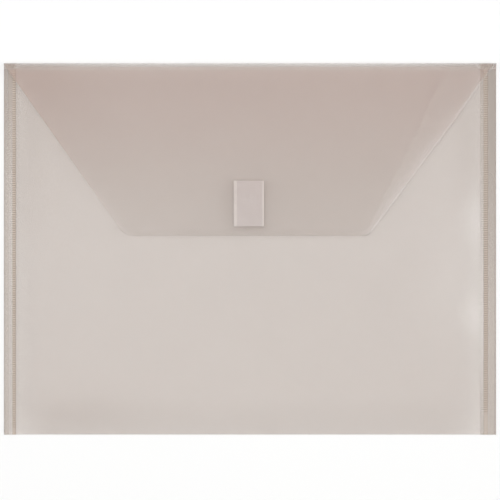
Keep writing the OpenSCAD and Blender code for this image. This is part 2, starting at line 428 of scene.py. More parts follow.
@dataclass
class Shell:
    """A thin closed solid between an outer and an inner grid of points.

    The rows and columns turn counterclockwise seen from outside. Along its cut sides a narrow rolled burr
    slopes off the outer face, and the cut slopes on from there to the inner face, as a die leaves them.
    A side without a rim of its own is upright and has the finish of the faces.
    """

    name: str
    outer: np.ndarray
    inner: np.ndarray
    rims: dict[Side, Rim] = field(default_factory=dict)
    burr_run: float = 0.0
    cut_run: float = 0.0
    burr_depth: float = 0.4

    @classmethod
    def around(cls, name: str, middle: np.ndarray, thickness: float, rims: dict[Side, Rim],
               burr_run: float, cut_run: float) -> "Shell":
        """A sheet of one thickness: half of it to each side of a middle surface, along its normals.

        Args:
            name: The piece's name.
            middle: Grid of points of the middle surface.
            thickness: The sheet's thickness.
            rims: How each side ends.
            burr_run: Width of the rolled burr.
            cut_run: Width of the cut beyond it.

        Returns:
            The shell.
        """
        across = np.gradient(middle, axis=1)
        along = np.gradient(middle, axis=0)
        normals = np.cross(across, along)
        normals /= np.linalg.norm(normals, axis=2, keepdims=True)
        half = normals * thickness / 2
        return cls(name, middle + half, middle - half, rims, burr_run, cut_run)

    def mark(self, piece: bpy.types.Object, name: str, numbers: np.ndarray) -> None:
        """Stores one number per point of the grid, for both faces and for the rim between.

        Args:
            piece: The piece that this shell was built as.
            name: The name that materials read.
            numbers: Numbers in the grid's shape, or in one that spreads to it.
        """
        values = np.broadcast_to(numbers, self.outer.shape[:2]).ravel()
        every = np.concatenate([values, values, values[self.ring()]])
        attribute = piece.data.attributes.new(name, "FLOAT", "POINT")
        attribute.data.foreach_set("value", every.astype(np.float32))

    def ring(self) -> np.ndarray:
        """Goes round one grid, counterclockwise from its first corner.

        Returns:
            Numbers of the points on the way.
        """
        rows, columns = self.outer.shape[:2]
        number = np.arange(rows * columns).reshape(rows, columns)
        return np.concatenate([number[0, :-1], number[:-1, -1], number[-1, :0:-1], number[:0:-1, 0]])

    def rim_slots(self, strip: int) -> np.ndarray:
        """Finds the slot of each stretch of the ring, from a point to the next.

        Args:
            strip: 0 for the upper strip of the rim, 1 for the lower.

        Returns:
            Slot numbers, in the order of the ring.
        """
        rows, columns = self.outer.shape[:2]
        sides = ((Side.FIRST_ROW, columns), (Side.LAST_COLUMN, rows), (Side.LAST_ROW, columns),
                 (Side.FIRST_COLUMN, rows))
        found = [np.full(count - 1, self.rims.get(side, Rim.PLAIN).value[strip]) for side, count in sides]
        return np.concatenate(found).astype(np.int32)

    def spread(self, grid: np.ndarray, run: float) -> np.ndarray:
        """Moves each cut side on by a run, square to the side and away from its neighbour.

        Where two cut sides meet, the outline is round, and the row has the last word.

        Args:
            grid: Points of one face.
            run: How far the sides move.

        Returns:
            The grid with its sides moved.
        """
        moved = grid.copy()
        ends = {
            Side.FIRST_COLUMN: (np.s_[:, 0], np.s_[:, 1]), Side.LAST_COLUMN: (np.s_[:, -1], np.s_[:, -2]),
            Side.FIRST_ROW: (np.s_[0, :], np.s_[1, :]), Side.LAST_ROW: (np.s_[-1, :], np.s_[-2, :]),
        }
        for side, (edge, neighbour) in ends.items():
            if self.rims.get(side, Rim.RUNS_ON) is Rim.RUNS_ON:
                continue
            along = np.gradient(grid[edge], axis=0)
            along /= np.linalg.norm(along, axis=1, keepdims=True)
            step = grid[edge] - grid[neighbour]
            step -= along * np.sum(step * along, axis=1, keepdims=True)
            moved[edge] = grid[edge] + run * step / np.linalg.norm(step, axis=1, keepdims=True)
        return moved

    def build(self, finish: Finish) -> bpy.types.Object:
        """Makes the mesh: the outer grid, the inner grid turned over, and a rim of two strips.

        Args:
            finish: The finish of both faces and of plain rims.

        Returns:
            The piece, with the finishes of its faces and of its rims in its slots, and its rim sharp.
        """
        rows, columns = self.outer.shape[:2]
        count = rows * columns
        number = np.arange(count).reshape(rows, columns)
        corners = [number[:-1, :-1], number[:-1, 1:], number[1:, 1:], number[1:, :-1]]
        face = np.stack(corners, axis=-1).reshape(-1, 4)
        ring = self.ring()
        burr = 2 * count + np.arange(len(ring))
        levels = [ring + count, burr, ring]
        strips = [np.stack([low, np.roll(low, -1), np.roll(high, -1), high], axis=-1)
                  for low, high in zip(levels, levels[1:])]
        slots = np.concatenate([
            np.zeros(2 * len(face), dtype=np.int32), self.rim_slots(1), self.rim_slots(0)])
        shed = self.spread(self.outer, self.burr_run) + self.burr_depth * (self.inner - self.outer)
        points = np.concatenate([
            self.outer.reshape(-1, 3), self.spread(self.inner, self.burr_run + self.cut_run).reshape(-1, 3),
            shed.reshape(-1, 3)[ring]])
        piece = quad_mesh(self.name, points, np.concatenate([face, face[:, ::-1] + count, *strips]))
        for used in (finish, BURR_HIGHLIGHT, CUT_EDGE_AND_SHADOW, FUSED_JOINT) if self.rims else (finish,):
            piece.data.materials.append(used.material())
        piece.data.polygons.foreach_set("material_index", slots)
        self.sharpen(piece, levels)
        return piece

    @staticmethod
    def sharpen(piece: bpy.types.Object, levels: list[np.ndarray]) -> None:
        """Marks the edges along each level of the rim as sharp, so that shading doesn't run over them.

        Args:
            piece: The piece.
            levels: Point numbers along the lower edge, the burr and the upper edge of the rim.
        """
        level_of = np.full(len(piece.data.vertices), -1)
        for level, ring in enumerate(levels):
            level_of[ring] = level
        ends = np.empty(2 * len(piece.data.edges), dtype=np.int32)
        piece.data.edges.foreach_get("vertices", ends)
        first, second = level_of[ends.reshape(-1, 2)].T
        attribute = piece.data.attributes.new("sharp_edge", "BOOLEAN", "EDGE")
        attribute.data.foreach_set("value", (first >= 0) & (first == second))


@dataclass
class Filament:
    """A round yarn or wire bent in the YZ plane, repeated at many places."""

    name: str
    path: np.ndarray
    thickness: float
    sides: int = 6

    def build(self, places: np.ndarray, finish: NylonFilament) -> bpy.types.Object:
        """Sweeps a ring along the path: each point plus a turn of the in-plane normal and of X.

        Args:
            places: Where each copy's foot stands, one row of three numbers each.
            finish: The filament's finish.

        Returns:
            One piece with every copy, each closed at both ends.
        """
        along = np.gradient(self.path, axis=0)
        along /= np.linalg.norm(along, axis=1, keepdims=True)
        normal = np.stack([np.zeros(len(along)), -along[:, 2], along[:, 1]], axis=1)
        turn = 2 * np.pi * np.arange(self.sides) / self.sides
        ring = (np.cos(turn)[None, :, None] * normal[:, None, :]
                + np.sin(turn)[None, :, None] * np.array([1.0, 0.0, 0.0]))
        one = (self.path[:, None, :] + self.thickness / 2 * ring).reshape(-1, 3)
        number = np.arange(len(one)).reshape(-1, self.sides)
        ahead = np.roll(number, -1, axis=1)
        wall = np.stack([number[:-1], ahead[:-1], ahead[1:], number[1:]], axis=-1).reshape(-1, 4)
        # Two four-sided faces close a ring of six
        lid = np.array([[0, 1, 2, 3], [0, 3, 4, 5]])
        quads = np.concatenate([wall, lid[:, ::-1], lid + number[-1, 0]])
        points = (places[:, None, :] + one[None, :, :]).reshape(-1, 3)
        copies = (np.arange(len(places)) * len(one))[:, None, None] + quads[None, :, :]
        piece = quad_mesh(self.name, points, copies.reshape(-1, 4))
        piece.data.materials.append(finish.material())
        return piece


def dress(piece: bpy.types.Object, slot: str, *nodes: str) -> bpy.types.Object:
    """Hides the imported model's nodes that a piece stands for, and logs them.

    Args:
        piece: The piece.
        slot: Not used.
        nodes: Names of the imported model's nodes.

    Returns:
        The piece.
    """
    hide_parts(*nodes)
    LOG.info("%s: %d faces, stands for %s", piece.name, len(piece.data.polygons), ", ".join(nodes))
    return piece


# Sub-assemblies


@dataclass(frozen=True)
class Band:
    """A soft band: a strength times a Gaussian of the distance from a place, over a width."""

    place: float
    width: float
    strength: float = 1.0

    def over(self, u: np.ndarray) -> np.ndarray:
        """The band's strength at each place."""
        return self.strength * bell((u - self.place) / self.width)


@dataclass(frozen=True)
class FrontHaze:
    """Where the pocket's front is hazier or clearer than plain sheet, and by how much."""

    shoulder_light_reach: float = 1.2
    left_shoulder_light: float = 0.045
    right_shoulder_light: float = 0.055
    bottom_shoulder_light: float = 0.03
    weld_trace: float = 0.025
    weld_run: float = 2.7 * MM
    score_trace: float = 0.012
    score_run: float = 0.6 * MM
    upper_foot: float = -20 * MM
    upper_rise: float = 110 * MM
    left_haze: float = 0.045
    left_clear: float = 0.002
    left_band: Band = Band(-150 * MM, 35 * MM)
    right_painted_shade: Band = Band(152 * MM, 14 * MM, 0.042)
    right_broad_shade: Band = Band(125 * MM, 25 * MM, 0.014)
    corner_across: Band = Band(-117 * MM, 32 * MM, 0.024)
    corner_up: Band = Band(-108 * MM, 14 * MM)
    highlight_across: Band = Band(135 * MM, 22 * MM, 0.02)
    highlight_up: Band = Band(-15 * MM, 45 * MM)
    buckle_highlight: Band = Band(151 * MM, 9 * MM, 0.045)


@dataclass
class Pocket:
    """Front, bottom fold and back of one folded sheet, with a welded seam down each side."""

    side_shoulder: float = 22 * MM
    bottom_shoulder: float = 26 * MM
    mouth_corner: float = 3 * MM
    score_height: float = 3.3 * MM
    score_width: float = 0.8 * MM
    score_depth: float = 0.06 * MM
    wave_depth: float = 0.3 * MM
    wave_across: tuple[float, float] = (61 * MM, 113 * MM)
    wave_up: tuple[float, float] = (47 * MM, 38 * MM)
    pad_y: float = 31 * MM
    pad_room: float = 22 * MM
    hollow_run: float = 40 * MM
    buckle_depth: float = 0.5 * MM
    upper_buckle: Band = Band(20 * MM, 18 * MM)
    lower_buckle: Band = Band(-45 * MM, 14 * MM)
    haze: FrontHaze = FrontHaze()
    burr_run: float = 0.1 * MM
    cut_run: float = 0.2 * MM
    grid_reach: float = 1.3
    shoulder_steps: int = 22
    flat_steps: int = 60
    score_steps: int = 24
    fold_steps: int = 9
    back_steps: int = 24
    left: float = field(init=False)
    right: float = field(init=False)
    low: float = field(init=False)
    crease_y: float = field(init=False)
    mouth_y: float = field(init=False)
    sheet: float = field(init=False)
    front_top: float = field(init=False)
    seam_top: float = field(init=False)

    def __post_init__(self) -> None:
        """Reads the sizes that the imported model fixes."""
        (self.left, self.low, _), (self.right, self.crease_y, self.sheet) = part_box("back_panel")
        _, (_, self.mouth_y, self.front_top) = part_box("front_panel")
        self.seam_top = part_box("left_seam")[1][2]

    def buckles(self, y: np.ndarray) -> np.ndarray:
        """Two soft buckles up the right shoulder, as a Gaussian each."""
        return self.upper_buckle.over(y) + self.lower_buckle.over(y)

    def front_height(self, x: np.ndarray, y: np.ndarray) -> np.ndarray:
        """Height of the front's middle surface.

        It rises from the seam's upper layer to the flat, steepest at the seam, and in the same way up from
        the bottom fold; the two rises are multiplied. The buckles stand out halfway up the right shoulder,
        as a parabola of its rise. Slow hollows, none of them near the pad, and a scored line along the
        bottom are taken off.

        Args:
            x: Places across the envelope.
            y: Places up the envelope.

        Returns:
            Heights, in the shape of x and y together.
        """
        foot = self.seam_top - self.sheet / 2
        top = self.front_top - self.sheet / 2
        from_side = np.minimum(x - self.left, self.right - x)
        from_low = y - self.low
        rise = (1 - near(from_side / self.side_shoulder)) * (1 - near(from_low / self.bottom_shoulder))
        waves = (np.sin(x / self.wave_across[0] + y / self.wave_up[0])
                 * np.sin(y / self.wave_up[1] - x / self.wave_across[1]))
        from_pad = np.hypot(x, y - self.pad_y) - self.pad_room
        hollow = 0.5 * (1 + waves) * ease(from_pad / self.hollow_run)
        score = bell((from_low - self.score_height) / self.score_width)
        right_rise = 1 - near((self.right - x) / self.side_shoulder)
        buckle = self.buckle_depth * 4 * right_rise * (1 - right_rise) * self.buckles(y)
        relief = buckle - self.wave_depth * hollow * rise - self.score_depth * score
        return foot + (top - foot) * rise + relief

    def front_haze(self, x: np.ndarray, y: np.ndarray) -> np.ndarray:
        """Extra haze of the front.

        Its left side is hazier towards the top and a little clearer low down; painted shade makes its upper
        right and its lower left corner hazier. There is a trace along the score and beside each weld.
        Painted light makes it clearer over the shoulders, along the buckles and on a patch on the right,
        about halfway up.

        Args:
            x: Places across the envelope.
            y: Places up the envelope.

        Returns:
            The extra share of haze at each place.
        """
        haze = self.haze
        side_run = haze.shoulder_light_reach * self.side_shoulder
        bottom_run = haze.shoulder_light_reach * self.bottom_shoulder
        # Painted light: the front is clearer over the shoulders by the seams and by the bottom fold
        painted_shoulder_light = (haze.left_shoulder_light * near((x - self.left) / side_run)
                 + haze.right_shoulder_light * near((self.right - x) / side_run)
                 + haze.bottom_shoulder_light * near((y - self.low) / bottom_run))
        # Painted highlights: clearer on a patch on the right, about halfway up, and along the buckles
        painted_highlight = (haze.highlight_across.over(x) * haze.highlight_up.over(y)
                     + haze.buckle_highlight.over(x) * self.buckles(y))
        pressed = haze.weld_trace * near(np.minimum(x - self.left, self.right - x) / haze.weld_run)
        upper = ease((y - haze.upper_foot) / haze.upper_rise)
        left_upper_haze = (haze.left_haze * upper - haze.left_clear) * haze.left_band.over(x)
        # Painted shade: hazier towards the top on the right, and in the lower left corner
        right_painted_shade = upper * (haze.right_painted_shade.over(x) + haze.right_broad_shade.over(x))
        corner_painted_shade = haze.corner_across.over(x) * haze.corner_up.over(y)
        score = haze.score_trace * bell((y - self.low - self.score_height) / haze.score_run)
        return pressed + left_upper_haze + right_painted_shade + corner_painted_shade + score - painted_shoulder_light - painted_highlight

    def build_film(self) -> bpy.types.Object:
        """Carries the sheet from the mouth down the front, round the bottom fold and up the back.

        Returns:
            The folded sheet as one piece, with its haze stored per vertex.
        """
        shoulder = self.grid_reach * self.side_shoulder
        x = joined(np.linspace(self.right, self.right - shoulder, self.shoulder_steps),
                   np.linspace(self.right - shoulder, self.left + shoulder, self.flat_steps),
                   np.linspace(self.left + shoulder, self.left, self.shoulder_steps))
        upper = self.low + self.grid_reach * self.bottom_shoulder
        over_score = self.low + 2 * self.score_height
        front_y = joined(np.linspace(1.0, 0.0, self.flat_steps) * (self.crease_y - upper) + upper,
                         np.linspace(upper, over_score, self.shoulder_steps),
                         np.linspace(over_score, self.low, self.score_steps))
        from_side = np.minimum(x - self.left, self.right - x)
        mouth_rise = self.mouth_y - self.burr_run - self.cut_run - self.crease_y
        mouth = self.crease_y + mouth_rise * ease(from_side / self.mouth_corner)
        lift = np.clip((front_y - upper) / (self.crease_y - upper), 0.0, 1.0)[:, None]
        y_front = front_y[:, None] + lift * (mouth - self.crease_y)[None, :]
        x_front = np.broadcast_to(x, y_front.shape)
        front = np.stack([x_front, y_front, self.front_height(x_front, y_front)], axis=-1)
        fold_r = self.seam_top / 2 - self.sheet / 2
        turn = np.linspace(0.0, np.pi, self.fold_steps)[1:]
        fold = np.stack(np.broadcast_arrays(
            x[None, :], self.low - fold_r * np.sin(turn)[:, None],
            self.seam_top / 2 + fold_r * np.cos(turn)[:, None]), axis=-1)
        back_y = np.linspace(self.low, self.crease_y, self.back_steps)[1:]
        back = np.stack(np.broadcast_arrays(x[None, :], back_y[:, None], self.sheet / 2), axis=-1)
        middle = np.concatenate([front, fold, back])
        # The mouth's near-white rim is a painted highlight
        rims = {Side.FIRST_ROW: Rim.WHITENED, Side.LAST_ROW: Rim.RUNS_ON, Side.FIRST_COLUMN: Rim.RUNS_ON,
                Side.LAST_COLUMN: Rim.RUNS_ON}
        shell = Shell.around("pocket_film", middle, self.sheet, rims, self.burr_run, self.cut_run)
        piece = shell.build(SMOKE_SHEET)
        haze = np.zeros(middle.shape[:2])
        haze[:len(front)] = self.front_haze(x_front, y_front)
        shell.mark(piece, "haze", haze)
        return piece

    def build(self) -> None:
        """Makes the folded sheet and both seams, and sets them on the pocket."""
        film = dress(self.build_film(), "film", "front_panel", "bottom_fold", "back_panel")
        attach(film, "pocket")
        # Each seam's lit and shaded halves are painted light and shade, in haze and in the grooves' tint
        left_seam = Seam(
            "left_seam", outward=-1, margin=2.7 * MM, plain=2.7 * MM, crest=0.15, upper_run=110 * MM,
            margin_haze=SeamHazeAndShade(base=0.03, upper=0.1), margin_shade=0.22,
            lit_haze=SeamHazeAndShade(base=-0.055, ridge=0.015, upper=0.19),
            shaded_haze=SeamHazeAndShade(base=0.2, ridge=0.05), groove_shade=-0.3, shade_swing=0.85)
        right_seam = Seam(
            "right_seam", outward=1, margin=5.3 * MM, plain=13 * MM, crest=-0.1, upper_run=190 * MM,
            margin_haze=SeamHazeAndShade(base=0.04, upper=0.14), margin_shade=0.32,
            lit_haze=SeamHazeAndShade(base=-0.135, ridge=0.04, upper=0.16, lower=0.1),
            shaded_haze=SeamHazeAndShade(base=0.22, ridge=0.05, upper=0.05), groove_shade=-0.2, shade_swing=0.7)
        for seam in (left_seam, right_seam):
            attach(dress(seam.build(), "weld", seam.node), "pocket")


@dataclass(frozen=True)
class SeamHazeAndShade:
    """Haze of one zone of a seam: all over, on each ridge, and towards either end. In the lit and the
    shaded half of the weld it is painted light and shade.
    """

    base: float
    ridge: float = 0.0
    upper: float = 0.0
    lower: float = 0.0

    def over(self, swing: np.ndarray, upper: np.ndarray, lower: np.ndarray) -> np.ndarray:
        """The zone's haze, from the swing of the ridges and the nearness to the top and to the bottom."""
        return self.base + self.ridge * swing + self.upper * upper + self.lower * lower


@dataclass
class Seam:
    """Two layers fused along one side: a pressed trough with cross ridges, and a plain strip outside it.

    The crest stands off the weld's middle by a share of its half width. The lit half of the weld lies to
    the left of it, the shaded half to the right; their light and shade are painted into haze and tint, the
    lit half clearer, the shaded half hazier with painted shade in its grooves.
    """

    node: str
    outward: int
    margin: float
    plain: float
    crest: float
    upper_run: float
    margin_haze: SeamHazeAndShade
    margin_shade: float
    lit_haze: SeamHazeAndShade
    shaded_haze: SeamHazeAndShade
    groove_shade: float
    shade_swing: float
    lower_run: float = 80 * MM
    top_haze: float = 0.1
    top_run: float = 20 * MM
    rim_haze: float = 0.05
    rim_run: float = 2.2 * MM
    ridge_pitch: float = 1.5 * MM
    ridge_height: float = 0.25 * MM
    low_ridge: float = 0.35
    ridge_start: float = 3 * MM
    ridge_stop: float = 2 * MM
    plain_top: float = 1 * MM
    trough: float = 0.3 * MM
    trough_power: float = 0.8
    weld_edge: float = 0.25
    crest_run: float = 0.2
    burr_run: float = 0.1 * MM
    cut_run: float = 0.25 * MM
    samples: int = 6
    margin_steps: int = 8
    weld_steps: int = 19

    def build(self) -> bpy.types.Object:
        """Makes the strip as a height over its plan.

        Across, the weld dips to a rounded trough in its middle. Along, each ridge is one cosine; the ridges
        are tall in the shaded half, low in the lit one, and fade at both ends.

        Returns:
            The seam's piece, with its haze stored per vertex, clearer in the lit half and hazier in the
            shaded half as painted light and shade, and with the painted shade of the grooves between its
            taller ridges and the darkening of the upper margin.
        """
        (left, low, _), (right, high, top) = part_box(self.node)
        weld_left = left + self.margin if self.outward < 0 else left
        weld_right = right if self.outward < 0 else right - self.margin
        run = self.burr_run + self.cut_run
        left, right = (left + run, right) if self.outward < 0 else (left, right - run)
        y = np.linspace(low, high, int((high - low) / self.ridge_pitch * self.samples))[:, None]
        weld = np.linspace(weld_left, weld_right, self.weld_steps)
        if self.outward < 0:
            x = joined(np.linspace(left, weld_left, self.margin_steps), weld)[None, :]
        else:
            x = joined(weld, np.linspace(weld_right, right, self.margin_steps))[None, :]
        middle, half = (weld_left + weld_right) / 2, (weld_right - weld_left) / 2
        across = (x - middle) / half
        inside = ease((1.0 - np.abs(across)) / self.weld_edge)
        dip = np.clip(1.0 - np.abs(across), 0.0, 1.0) ** self.trough_power
        ends = (ease((y - low - self.plain) / self.ridge_start)
                * ease((high - self.plain_top - y) / self.ridge_stop))
        shaded = ease((across - self.crest) / self.crest_run + 0.5)
        strength = (self.low_ridge + (1 - self.low_ridge) * shaded) * inside * ends
        ridge = 0.5 - 0.5 * np.cos(2 * np.pi * (y - low - self.plain) / self.ridge_pitch)
        height = top - self.trough * dip - self.ridge_height * ridge * strength
        plan = np.broadcast_arrays(x, y, height)
        outer = np.stack(plan, axis=-1)
        inner = np.stack([plan[0], plan[1], np.zeros(plan[0].shape)], axis=-1)
        sides = (Side.FIRST_COLUMN, Side.LAST_COLUMN)
        outside, joint = sides if self.outward < 0 else sides[::-1]
        rims = {outside: Rim.DARK, joint: Rim.RUNS_ON}
        shell = Shell(f"{self.node}_weld", outer, inner, rims, self.burr_run, self.cut_run)
        piece = shell.build(FUSED_WELD)
        welded = ease((1.0 - self.outward * across) / self.weld_edge)
        swing = (2.0 * ridge - 1.0) * ends * inside
        upper = ease(1.0 - (high - y) / self.upper_run)
        along = (swing, upper, ease(1.0 - (y - low) / self.lower_run))
        from_side = x - left if self.outward < 0 else right - x
        margin_haze = self.margin_haze.over(*along) + self.rim_haze * near(from_side / self.rim_run)
        # The lit half is clearer and the shaded half hazier: painted light and shade of the weld's two
        # halves
        weld_haze = ((1 - shaded) * self.lit_haze.over(*along) + shaded * self.shaded_haze.over(*along)
                     + self.top_haze * near((high - y) / self.top_run))
        shell.mark(piece, "haze", (1 - welded) * margin_haze + welded * weld_haze)
        # Painted shade in the grooves and painted light on the crests of the shaded half; the margin
        # darkens towards the top
        painted_ridge_shade = shaded * (self.groove_shade * inside + self.shade_swing * swing)
        shell.mark(piece, "warmth", (1 - welded) * self.margin_shade * upper + welded * painted_ridge_shade)
        return piece


@dataclass(frozen=True)
class FlapHaze:
    """Where the flap and its crease are hazier or clearer than plain sheet, and by how much.

    A fade with a start and a run has the value of its start at the flap's root, at its tip or at the mouth,
    and changes by one with each run from there. A fade with a foot and a run dies away over that run, from
    the foot's height above the tip.
    """

    base: float = 0.03
    climb: float = 0.07
    even_height: float = 0.6
    upper_left: float = 0.03
    upper_left_run: float = 90 * MM
    lower_edge: float = 0.05
    lower_edge_run: float = 9 * MM
    lower_left_light: Band = Band(-70 * MM, 45 * MM, 0.022)
    left_corner_start: float = 1.15
    left_corner_run: float = 70 * MM
    left_edge: float = 0.045
    left_edge_width: float = 8 * MM
    left_edge_start: float = 1.4
    left_edge_run: float = 50 * MM
    right_strip: float = 0.035
    right_strip_edge: float = 0.15
    right_edge: float = 0.095
    right_edge_width: float = 11 * MM
    right_edge_upper: float = 0.7
    right_edge_upper_start: float = 1.3
    right_edge_upper_run: float = 40 * MM
    right_edge_lower: float = 0.7
    right_edge_lower_foot: float = 8 * MM
    right_edge_lower_run: float = 15 * MM
    rim: float = 0.4
    rim_width: float = 0.5 * MM
    rim_upper_start: float = 1.4
    rim_upper_run: float = 25 * MM
    rim_lower: float = 0.5
    rim_lower_foot: float = 6 * MM
    rim_lower_run: float = 14 * MM
    bend: Band = Band(0.0, 0.35, 0.04)
    crease_painted_light: float = 0.045
    crease_end_shade: float = 0.09
    crease_ends_power: int = 4
    crease_pressed: float = 0.16
    mouth_start: float = 1.2
    mouth_run: float = 0.6 * MM


@dataclass
class Flap:
    """The tapered flap and the crease that carries it over the mouth, as one sheet."""

    tip_width: float = 163.2 * MM
    tip_shift: float = -2 * MM
    corner_radius: float = 9 * MM
    clearance: float = 0.12 * MM
    tent_depth: float = 0.9 * MM
    tent_run: float = 45 * MM
    low_tent_run: float = 9 * MM
    settle: float = 25 * MM
    low_run: float = 6 * MM
    lean_share: float = 0.15
    burr_run: float = 0.9 * MM
    cut_run: float = 0.2 * MM
    strip_place: tuple[float, float] = (79 * MM, 14 * MM)
    strip_slope: float = 0.48
    root_warmth: float = 0.5
    rim_warmth: float = 1.2
    film_haze: FlapHaze = FlapHaze()
    columns: int = 130
    bend_steps: int = 21
    flat_steps: int = 80
    corner_steps: int = 14
    tip_y: float = field(init=False)
    root_y: float = field(init=False)
    half_root: float = field(init=False)
    half_fold: float = field(init=False)
    under: float = field(init=False)
    sheet: float = field(init=False)
    hinge_y: float = field(init=False)
    hinge_z: float = field(init=False)

    def __post_init__(self) -> None:
        """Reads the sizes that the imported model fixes."""
        (low_x, self.tip_y, self.under), (high_x, self.root_y, top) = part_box("flap_panel")
        self.half_root = (high_x - low_x) / 2
        self.half_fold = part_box("flap_crease")[1][0]
        self.sheet = top - self.under
        self.hinge_z = top / 2
        self.hinge_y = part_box("flap_crease")[1][1] - self.hinge_z

    def side_corner(self, side: int) -> float:
        """Where one slanted side would meet the lower edge if the corner weren't rounded."""
        return self.tip_shift + side * self.tip_width / 2

    def lean(self, side: int) -> float:
        """Angle of one slanted side above the lower edge."""
        return math.atan2(self.root_y - self.tip_y, abs(side * self.half_root - self.side_corner(side)))

    def side_x(self, y: np.ndarray, side: int, inset: float = 0.0) -> np.ndarray:
        """Place of one side at each height of the folded-over sheet.

        It is a straight slant from the fold down, then a round corner that is tangent to it and to the
        lower edge.

        Args:
            y: Heights.
            side: 1 for the right side, -1 for the left.
            inset: How far the line runs inside the outline, all round.

        Returns:
            Places across the sheet, in the shape of y.
        """
        lean, r, tip = self.lean(side), self.corner_radius - inset, self.tip_y + inset
        corner = self.side_corner(side) - side * inset * math.tan(lean / 2)
        straight = corner + side * (y - tip) / math.tan(lean)
        fall = np.clip(tip + r - y, 0.0, r)
        rounded = corner - side * r * math.tan(lean / 2) + side * np.sqrt(r * r - fall * fall)
        found = np.where(y < tip + r * (1 - math.cos(lean)), rounded, straight)
        return np.clip(found, inset - self.half_fold, self.half_fold - inset)

    def right_band(self, x: np.ndarray, y: np.ndarray) -> np.ndarray:
        """From 0 on a slanted inner line to 1 on the right side: how far into the clearer strip there."""
        inner = self.strip_place[0] + (y - self.strip_place[1]) * self.strip_slope
        return np.clip((x - inner) / (self.side_x(y, 1) - inner), 0.0, 1.0)

    def sag(self, x: np.ndarray, y: np.ndarray) -> np.ndarray:
        """How far the sheet sinks below the flat that the closure and the crease hold.

        It eases down with the distance from the pad and from the crease, like a tent, and its lower edge
        rolls the rest of the way to the front.

        Args:
            x: Places across the sheet.
            y: Places up the sheet.

        Returns:
            Depths below the flat.
        """
        (pad_left, pad_low, _), (pad_right, pad_high, _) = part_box("hook_tape")
        beside = np.maximum(np.maximum(pad_left - x, x - pad_right), 0.0) / self.tent_run
        above = np.maximum(y - pad_high, 0.0) / self.tent_run
        below = np.maximum(pad_low - y, 0.0) / self.low_tent_run
        away = np.sqrt(beside ** 2 + above ** 2 + below ** 2)
        gap = self.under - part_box("front_panel")[1][2] - self.clearance
        sunk = self.tent_depth + (gap - self.tent_depth) * near((y - self.tip_y) / self.low_run)
        return sunk * ease(away) * ease((self.root_y - y) / self.settle)

    def haze(self, x: np.ndarray, y: np.ndarray, turn: np.ndarray) -> np.ndarray:
        """Extra haze of the sheet.

        The flap is hazier towards its root and its upper left corner. Painted light makes it clearer along
        its lower edge and towards its lower left corner, where it sinks to the front, and more so in its
        right strip and most of all along its right edge, whose white rim is a painted highlight that fades
        at both ends. Above the mouth painted light clears the crease, most of all in the middle, and
        painted shade makes it hazier towards both ends; it is hazier where it bends most, and it is pressed
        with the seams where these run up into it.

        Args:
            x: Places across the sheet.
            y: Places up the sheet.
            turn: Angle round the crease, from minus to plus a quarter turn, and more on the flap.

        Returns:
            The extra share of haze at each place.
        """
        haze = self.film_haze
        above_tip, below_root = y - self.tip_y, self.root_y - y
        height = above_tip / (self.root_y - self.tip_y)
        from_left = (x - self.side_x(y, -1)) * math.sin(self.lean(-1))
        from_right = (self.side_x(y, 1) - x) * math.sin(self.lean(1))
        run = self.burr_run + self.cut_run
        # The painted highlight of the right side's white rim fades towards both ends
        rim = np.where(turn > 0.0, near((from_right - run) / haze.rim_width), 0.0)
        upper_rim = ease(haze.rim_upper_start - below_root / haze.rim_upper_run)
        lower_rim = haze.rim_lower * (1 - ease((above_tip - haze.rim_lower_foot) / haze.rim_lower_run))
        faded = haze.rim * rim * np.maximum(upper_rim, lower_rim)
        upper_fade = ease(haze.right_edge_upper_start - below_root / haze.right_edge_upper_run)
        lower_fade = 1 - ease((above_tip - haze.right_edge_lower_foot) / haze.right_edge_lower_run)
        edge_share = (1 - haze.right_edge_upper * upper_fade) * (1 - haze.right_edge_lower * lower_fade)
        # Painted light: clearer along the right edge and in the strip inside it
        strip = (haze.right_edge * near(from_right / haze.right_edge_width) * edge_share
                 + haze.right_strip * ease(self.right_band(x, y) / haze.right_strip_edge))
        # Painted light: clearer towards the lower left corner and along the lower left edge
        lower_left_light = (haze.lower_left_light.over(x)
                       * ease(haze.left_corner_start - above_tip / haze.left_corner_run)
                       + haze.left_edge * near(from_left / haze.left_edge_width)
                       * ease(haze.left_edge_start - above_tip / haze.left_edge_run))
        upper_left = haze.upper_left * near((x + self.half_fold) / haze.upper_left_run) * ease(height)
        # Painted light along the lower edge, where the sheet sinks to the front
        lower_edge = haze.lower_edge * near(above_tip / haze.lower_edge_run)
        flap = (haze.base + haze.climb * (height - haze.even_height) + upper_left
                - lower_edge - strip - lower_left_light)
        left_weld, right_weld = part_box("left_seam")[1][0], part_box("right_seam")[0][0]
        pressed = (x < left_weld) | (x > right_weld)
        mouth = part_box("front_panel")[1][1]
        clear = ease((y - mouth) / haze.mouth_run + haze.mouth_start)
        # Painted light clears the crease's middle above the mouth, and painted shade makes it hazier
        # towards both ends
        ends = haze.crease_end_shade * (x / self.half_fold) ** haze.crease_ends_power
        bent = (haze.bend.over(turn) + (ends - haze.crease_painted_light) * clear
                + np.where(turn > 0.0, (1 - clear) * flap, 0.0))
        crease = np.where(pressed, haze.crease_pressed, bent)
        return np.where(turn > np.pi / 2, flap, crease) - faded

